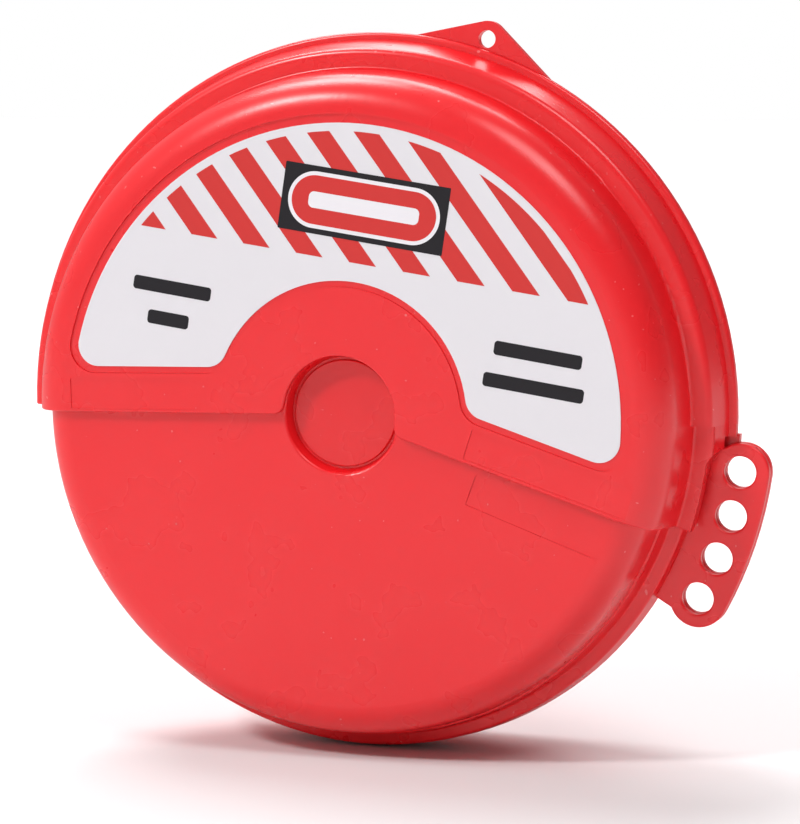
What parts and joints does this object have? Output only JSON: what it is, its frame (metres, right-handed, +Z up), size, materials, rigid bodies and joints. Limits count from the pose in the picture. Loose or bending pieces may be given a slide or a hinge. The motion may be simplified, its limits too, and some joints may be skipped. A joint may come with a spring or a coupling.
{
  "type": "valve handwheel lockout cover",
  "caption": "Rotating two-half lockout cover that encloses a gate-valve handwheel, with lined-up lugs for padlocks and a stem opening at the back.",
  "frame": {"origin": "centre of the stem opening, on the turning axis, in the outer face of the back plate", "axes": "+Z up as it hangs on a valve, +Y from the labelled front to the back along the turning axis, +X to the right seen from the front"},
  "size_m": [0.2048, 0.058, 0.1917],
  "materials": {
    "outer_plastic": "moulded red polypropylene, soft sheen",
    "inner_plastic": "moulded red polypropylene, soft sheen",
    "label_vinyl": "printed white vinyl"
  },
  "bodies": {
    "outer_half": {"outer_front_shell": "outer_plastic", "outer_back_shell": "outer_plastic", "warning_label": "label_vinyl"},
    "inner_half": {"inner_front_shell": "inner_plastic", "inner_back_shell": "inner_plastic", "knock_out_disc": "inner_plastic"}
  },
  "joints": [
    {"name": "cover_rotation", "type": "hinge", "parent": "outer_half", "child": "inner_half", "pos_m": [0, -0.029, 0], "axis": [0, 1, 0], "range_deg": [0, 146]}
  ]
}
